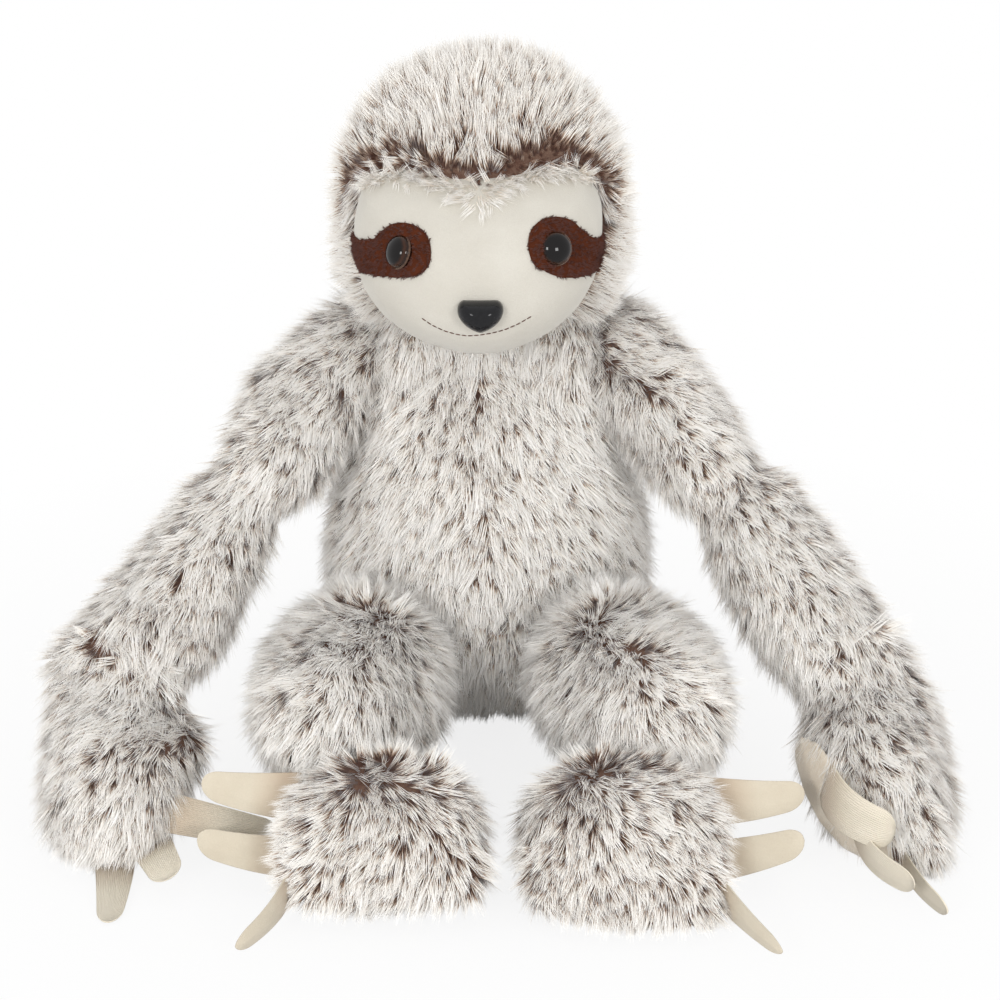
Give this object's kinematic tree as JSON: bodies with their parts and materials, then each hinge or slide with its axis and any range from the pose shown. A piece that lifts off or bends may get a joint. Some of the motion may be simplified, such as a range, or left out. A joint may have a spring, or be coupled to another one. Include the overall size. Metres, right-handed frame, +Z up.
{
  "type": "plush sloth",
  "caption": "Sitting long-armed plush sloth with frosted fur, a short-pile face, dark eye patches, plastic eyes and nose, and flat fabric claws on soft sewn joints.",
  "frame": {"origin": "middle of the flat under the seat, on the surface that the toy sits on", "axes": "+Z up, -Y out of the face, +X to the toy's own left"},
  "size_m": [0.4108, 0.283, 0.3409],
  "materials": {
    "fur": "long frosted pile",
    "face_pile": "short pile",
    "patch_pile": "knitted pile",
    "claw_cloth": "ribbed knit",
    "pad_cloth": "brushed cloth",
    "eye_plastic": "gloss",
    "nose_plastic": "gloss",
    "washer_plastic": "matte",
    "thread": "embroidery thread",
    "filling": "loose polyester filling",
    "pellet_cloth": "woven bag of pellets"
  },
  "bodies": {
    "torso": {"torso_skin": "fur", "torso_filling": "filling", "seat_pellet_bag": "pellet_cloth"},
    "head": {"hood": "fur", "head_filling": "filling", "face_panel": "face_pile", "right_eye_patch": "patch_pile", "left_eye_patch": "patch_pile", "right_eye": "eye_plastic", "left_eye": "eye_plastic", "right_eye_washer": "washer_plastic", "left_eye_washer": "washer_plastic", "nose": "nose_plastic", "nose_washer": "washer_plastic", "mouth_stitching": "thread"},
    "right_upper_arm": {"right_upper_arm": "fur"},
    "right_forearm": {"right_forearm": "fur"},
    "right_hand": {"right_hand": "fur", "right_palm_pad": "pad_cloth"},
    "right_hand_inner_claw": {"right_hand_inner_claw": "claw_cloth"},
    "right_hand_middle_claw": {"right_hand_middle_claw": "claw_cloth"},
    "right_hand_outer_claw": {"right_hand_outer_claw": "claw_cloth"},
    "left_upper_arm": {"left_upper_arm": "fur"},
    "left_forearm": {"left_forearm": "fur"},
    "left_hand": {"left_hand": "fur", "left_palm_pad": "pad_cloth"},
    "left_hand_inner_claw": {"left_hand_inner_claw": "claw_cloth"},
    "left_hand_middle_claw": {"left_hand_middle_claw": "claw_cloth"},
    "left_hand_outer_claw": {"left_hand_outer_claw": "claw_cloth"},
    "right_leg": {"right_leg": "fur"},
    "right_foot": {"right_foot": "fur", "right_sole_pad": "pad_cloth"},
    "right_foot_upper_claw": {"right_foot_upper_claw": "claw_cloth"},
    "right_foot_middle_claw": {"right_foot_middle_claw": "claw_cloth"},
    "right_foot_lower_claw": {"right_foot_lower_claw": "claw_cloth"},
    "left_leg": {"left_leg": "fur"},
    "left_foot": {"left_foot": "fur", "left_sole_pad": "pad_cloth"},
    "left_foot_upper_claw": {"left_foot_upper_claw": "claw_cloth"},
    "left_foot_middle_claw": {"left_foot_middle_claw": "claw_cloth"},
    "left_foot_lower_claw": {"left_foot_lower_claw": "claw_cloth"}
  },
  "joints": [
    {"name": "neck", "type": "hinge", "parent": "torso", "child": "head", "pos_m": [0, -0.006, 0.222], "axis": [1, 0, 0], "range_deg": [-12, 12], "stiffness_Nm_per_rad": 0.9},
    {"name": "right_shoulder", "type": "hinge", "parent": "torso", "child": "right_upper_arm", "pos_m": [-0.0588, -0.0029, 0.19795], "axis": [0, 1, 0], "range_deg": [0, 50]},
    {"name": "right_elbow", "type": "hinge", "parent": "right_upper_arm", "child": "right_forearm", "pos_m": [-0.11113, -0.04989, 0.13559], "axis": [0, 1, 0], "range_deg": [0, 40]},
    {"name": "right_wrist", "type": "hinge", "parent": "right_forearm", "child": "right_hand", "pos_m": [-0.16018, -0.09359, 0.06286], "axis": [-0.98, 0.1988, 0], "range_deg": [-5, 12]},
    {"name": "right_hand_inner_claw_bend", "type": "hinge", "parent": "right_hand", "child": "right_hand_inner_claw", "pos_m": [-0.13194, -0.14138, 0.02543], "axis": [0.2227, 0.3959, 0.8909], "range_deg": [-10, 10], "stiffness_Nm_per_rad": 0.004},
    {"name": "right_hand_middle_claw_bend", "type": "hinge", "parent": "right_hand", "child": "right_hand_middle_claw", "pos_m": [-0.14418, -0.15147, 0.01292], "axis": [0.8591, 0.3394, 0.3831], "range_deg": [-10, 10], "stiffness_Nm_per_rad": 0.004},
    {"name": "right_hand_outer_claw_bend", "type": "hinge", "parent": "right_hand", "child": "right_hand_outer_claw", "pos_m": [-0.16948, -0.15258, 0.00341], "axis": [0.9926, 0.1215, 0], "range_deg": [-10, 10], "stiffness_Nm_per_rad": 0.004},
    {"name": "left_shoulder", "type": "hinge", "parent": "torso", "child": "left_upper_arm", "pos_m": [0.0588, -0.0029, 0.19795], "axis": [0, -1, 0], "range_deg": [0, 50]},
    {"name": "left_elbow", "type": "hinge", "parent": "left_upper_arm", "child": "left_forearm", "pos_m": [0.11113, -0.04989, 0.13559], "axis": [0, -1, 0], "range_deg": [0, 40]},
    {"name": "left_wrist", "type": "hinge", "parent": "left_forearm", "child": "left_hand", "pos_m": [0.16018, -0.09359, 0.06286], "axis": [-0.9124, -0.4094, 0], "range_deg": [-5, 12]},
    {"name": "left_hand_inner_claw_bend", "type": "hinge", "parent": "left_hand", "child": "left_hand_inner_claw", "pos_m": [0.15053, -0.14816, 0.03918], "axis": [0.1588, -0.0067, 0.9873], "range_deg": [-10, 10], "stiffness_Nm_per_rad": 0.004},
    {"name": "left_hand_middle_claw_bend", "type": "hinge", "parent": "left_hand", "child": "left_hand_middle_claw", "pos_m": [0.16154, -0.15702, 0.02377], "axis": [-0.0813, -0.1094, 0.9907], "range_deg": [-10, 10], "stiffness_Nm_per_rad": 0.004},
    {"name": "left_hand_outer_claw_bend", "type": "hinge", "parent": "left_hand", "child": "left_hand_outer_claw", "pos_m": [0.18284, -0.15388, 0.00869], "axis": [-0.1515, -0.0418, 0.9876], "range_deg": [-10, 10], "stiffness_Nm_per_rad": 0.004},
    {"name": "right_hip", "type": "hinge", "parent": "torso", "child": "right_leg", "pos_m": [-0.0516, -0.04302, 0.05885], "axis": [-1, 0, 0], "range_deg": [-3, 10]},
    {"name": "right_ankle", "type": "hinge", "parent": "right_leg", "child": "right_foot", "pos_m": [-0.06696, -0.1153, 0.06272], "axis": [-1, 0, 0], "range_deg": [-8, 12]},
    {"name": "right_foot_upper_claw_bend", "type": "hinge", "parent": "right_foot", "child": "right_foot_upper_claw", "pos_m": [-0.0882, -0.15399, 0.04223], "axis": [-0.0372, -0.3694, -0.9285], "range_deg": [-10, 10], "stiffness_Nm_per_rad": 0.004},
    {"name": "right_foot_middle_claw_bend", "type": "hinge", "parent": "right_foot", "child": "right_foot_middle_claw", "pos_m": [-0.08948, -0.16251, 0.01739], "axis": [-0.039, -0.3694, -0.9285], "range_deg": [-10, 10], "stiffness_Nm_per_rad": 0.004},
    {"name": "right_foot_lower_claw_bend", "type": "hinge", "parent": "right_foot", "child": "right_foot_lower_claw", "pos_m": [-0.08391, -0.18328, 0.01392], "axis": [0.0209, 0.1003, -0.9947], "range_deg": [-10, 10], "stiffness_Nm_per_rad": 0.004},
    {"name": "left_hip", "type": "hinge", "parent": "torso", "child": "left_leg", "pos_m": [0.0516, -0.04302, 0.05885], "axis": [-1, 0, 0], "range_deg": [-3, 10]},
    {"name": "left_ankle", "type": "hinge", "parent": "left_leg", "child": "left_foot", "pos_m": [0.07197, -0.11406, 0.06272], "axis": [-1, 0, 0], "range_deg": [-8, 12]},
    {"name": "left_foot_upper_claw_bend", "type": "hinge", "parent": "left_foot", "child": "left_foot_upper_claw", "pos_m": [0.10319, -0.15244, 0.03856], "axis": [0.026, 0.3695, 0.9289], "range_deg": [-10, 10], "stiffness_Nm_per_rad": 0.004},
    {"name": "left_foot_middle_claw_bend", "type": "hinge", "parent": "left_foot", "child": "left_foot_middle_claw", "pos_m": [0.10241, -0.16325, 0.01588], "axis": [0.1157, -0.3672, -0.9229], "range_deg": [-10, 10], "stiffness_Nm_per_rad": 0.004},
    {"name": "left_foot_lower_claw_bend", "type": "hinge", "parent": "left_foot", "child": "left_foot_lower_claw", "pos_m": [0.09785, -0.18201, 0.01396], "axis": [0.0291, -0.0753, 0.9967], "range_deg": [-10, 10], "stiffness_Nm_per_rad": 0.004}
  ]
}
